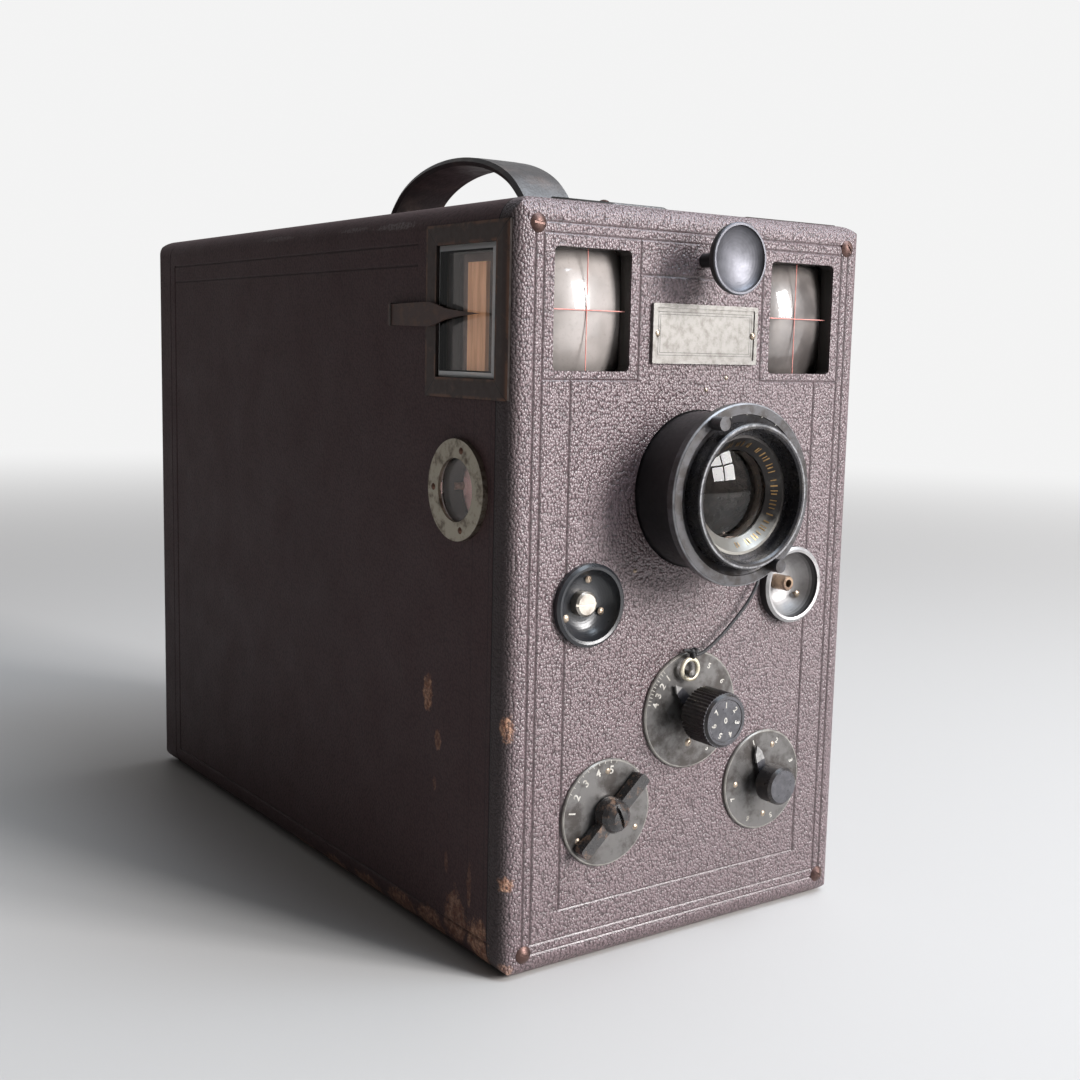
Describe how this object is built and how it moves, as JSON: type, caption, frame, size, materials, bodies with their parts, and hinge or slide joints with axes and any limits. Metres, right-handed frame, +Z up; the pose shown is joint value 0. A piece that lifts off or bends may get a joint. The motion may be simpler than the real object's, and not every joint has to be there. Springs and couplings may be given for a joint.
{
  "type": "detective camera",
  "caption": "Leather covered box camera for glass plates with a focusing lens, front dials and push buttons, finders, a strap handle and a hinged rear door.",
  "frame": {"origin": "centre of the case's underside", "axes": "+Z up, the lens looks along -Y, +X to the right of someone who faces the front"},
  "size_m": [0.1337, 0.2809, 0.2346],
  "materials": {
    "board_wood": "stained mahogany",
    "case_leather": "pebbled, worn at the edges",
    "strap_leather": "smooth black",
    "copper_brass": "tarnished",
    "brass": "aged",
    "nickel": "worn nickel",
    "steel": "bright",
    "black_lacquer": "semi-gloss black",
    "dial_metal": "dark bronzed",
    "ebonite": "polished hard rubber",
    "black_wood": "matt black stain",
    "lens_glass": "clear",
    "mirror": "silvered",
    "ivory": "aged ivory-like",
    "pale_wood": "raw, planed",
    "cord_cotton": "twisted black cotton",
    "pale_ring": "pale"
  },
  "bodies": {
    "case": {"front_board": "board_wood", "left_board": "board_wood", "right_board": "board_wood", "top_board": "board_wood", "base_board": "board_wood", "front_leather": "case_leather", "body_leather": "case_leather", "base_leather": "case_leather", "case_screws": "copper_brass", "tripod_bush": "brass", "body_hinge_leaves": "brass", "hinge_pins": "steel", "catch_clip": "brass", "strap_handle": "strap_leather", "strap_tabs": "strap_leather", "name_plate": "nickel", "plate_pins": "brass", "finder_lenses": "lens_glass", "finder_mirrors": "mirror", "finder_boxes": "black_wood", "window_frames": "black_lacquer", "window_glasses": "lens_glass", "sight_pointer": "black_lacquer", "pale_strip": "pale_wood", "counter_bezel": "nickel", "lens_sleeve": "black_lacquer", "shutter_plate": "brass", "stop_dial": "dial_metal", "small_dials": "dial_metal", "release_cup": "black_lacquer", "release_spring": "steel", "nipple_cup": "black_lacquer", "air_nipple": "brass", "cord": "cord_cotton", "cord_ring": "pale_ring", "button_bushing": "black_lacquer", "fitting_screws": "brass", "magazine_frame": "board_wood", "plate_sheaths": "black_lacquer"},
    "door": {"rear_door": "board_wood", "rear_door_leather": "case_leather", "door_hinge_leaves": "brass", "door_knob": "nickel", "pusher_guides": "steel", "pusher_spring": "steel"},
    "pusher": {"pusher_plate": "board_wood"},
    "focus": {"focus_ring": "black_lacquer"},
    "lens": {"lens_barrel": "black_lacquer", "lens_retainer": "black_lacquer", "front_element": "lens_glass", "rear_element": "lens_glass"},
    "stops": {"stop_knob": "ebonite", "stop_sector": "brass"},
    "shutter": {"shutter_sector": "black_lacquer"},
    "time": {"time_lever": "ebonite"},
    "speed": {"speed_knob": "ebonite"},
    "release": {"release_button": "nickel"},
    "change": {"changing_button": "ebonite"},
    "catch": {"plate_catch": "brass"},
    "counter": {"counter_disc": "ivory"}
  },
  "joints": [
    {"name": "door_hinge", "type": "hinge", "parent": "case", "child": "door", "pos_m": [0.066, 0.1107, 0.105], "axis": [0, 0, -1], "range_deg": [0, 110]},
    {"name": "pusher_slide", "type": "slide", "parent": "door", "child": "pusher", "axis": [0, 1, 0], "range_m": [0, 0.006], "stiffness_N_per_m": 400, "springref_m": -0.01, "deforming": ["pusher_spring"]},
    {"name": "focus_turn", "type": "hinge", "parent": "case", "child": "focus", "pos_m": [0, -0.1435, 0.1326], "axis": [0, 1, 0], "range_deg": [0, 120]},
    {"name": "lens_slide", "type": "slide", "parent": "case", "child": "lens", "axis": [0, -1, 0], "range_m": [0, 0.003]},
    {"name": "stop_turn", "type": "hinge", "parent": "case", "child": "stops", "pos_m": [0, -0.1255, 0.0685], "axis": [0, -1, 0], "range_deg": [0, 37]},
    {"name": "shutter_swing", "type": "hinge", "parent": "case", "child": "shutter", "pos_m": [0, -0.1015, 0.0685], "axis": [0, -1, 0], "range_deg": [0, 36], "stiffness_Nm_per_rad": 0.02, "springref_deg": -20.05},
    {"name": "time_turn", "type": "hinge", "parent": "case", "child": "time", "pos_m": [-0.03, -0.1255, 0.0428], "axis": [0, 1, 0], "range_deg": [0, 90]},
    {"name": "speed_turn", "type": "hinge", "parent": "case", "child": "speed", "pos_m": [0.03, -0.1255, 0.0428], "axis": [0, 1, 0], "range_deg": [0, 270]},
    {"name": "release_push", "type": "slide", "parent": "case", "child": "release", "axis": [0, 1, 0], "range_m": [0, 0.002], "stiffness_N_per_m": 500, "springref_m": -0.002, "deforming": ["release_spring"]},
    {"name": "change_push", "type": "slide", "parent": "case", "child": "change", "axis": [0, 1, 0], "range_m": [0, 0.006], "stiffness_N_per_m": 300, "springref_m": -0.004},
    {"name": "catch_turn", "type": "hinge", "parent": "case", "child": "catch", "pos_m": [0.015, 0.0228, 0.1965], "axis": [0, 0, -1], "range_deg": [0, 24.1]},
    {"name": "counter_turn", "type": "hinge", "parent": "case", "child": "counter", "pos_m": [-0.055, -0.0903, 0.1326], "axis": [1, 0, 0], "continuous": true}
  ],
  "couplings": [
    {"joint": "focus_turn", "follows": "lens_slide", "rad_per_m": 698.1},
    {"joint": "catch_turn", "follows": "change_push", "rad_per_m": 70}
  ]
}
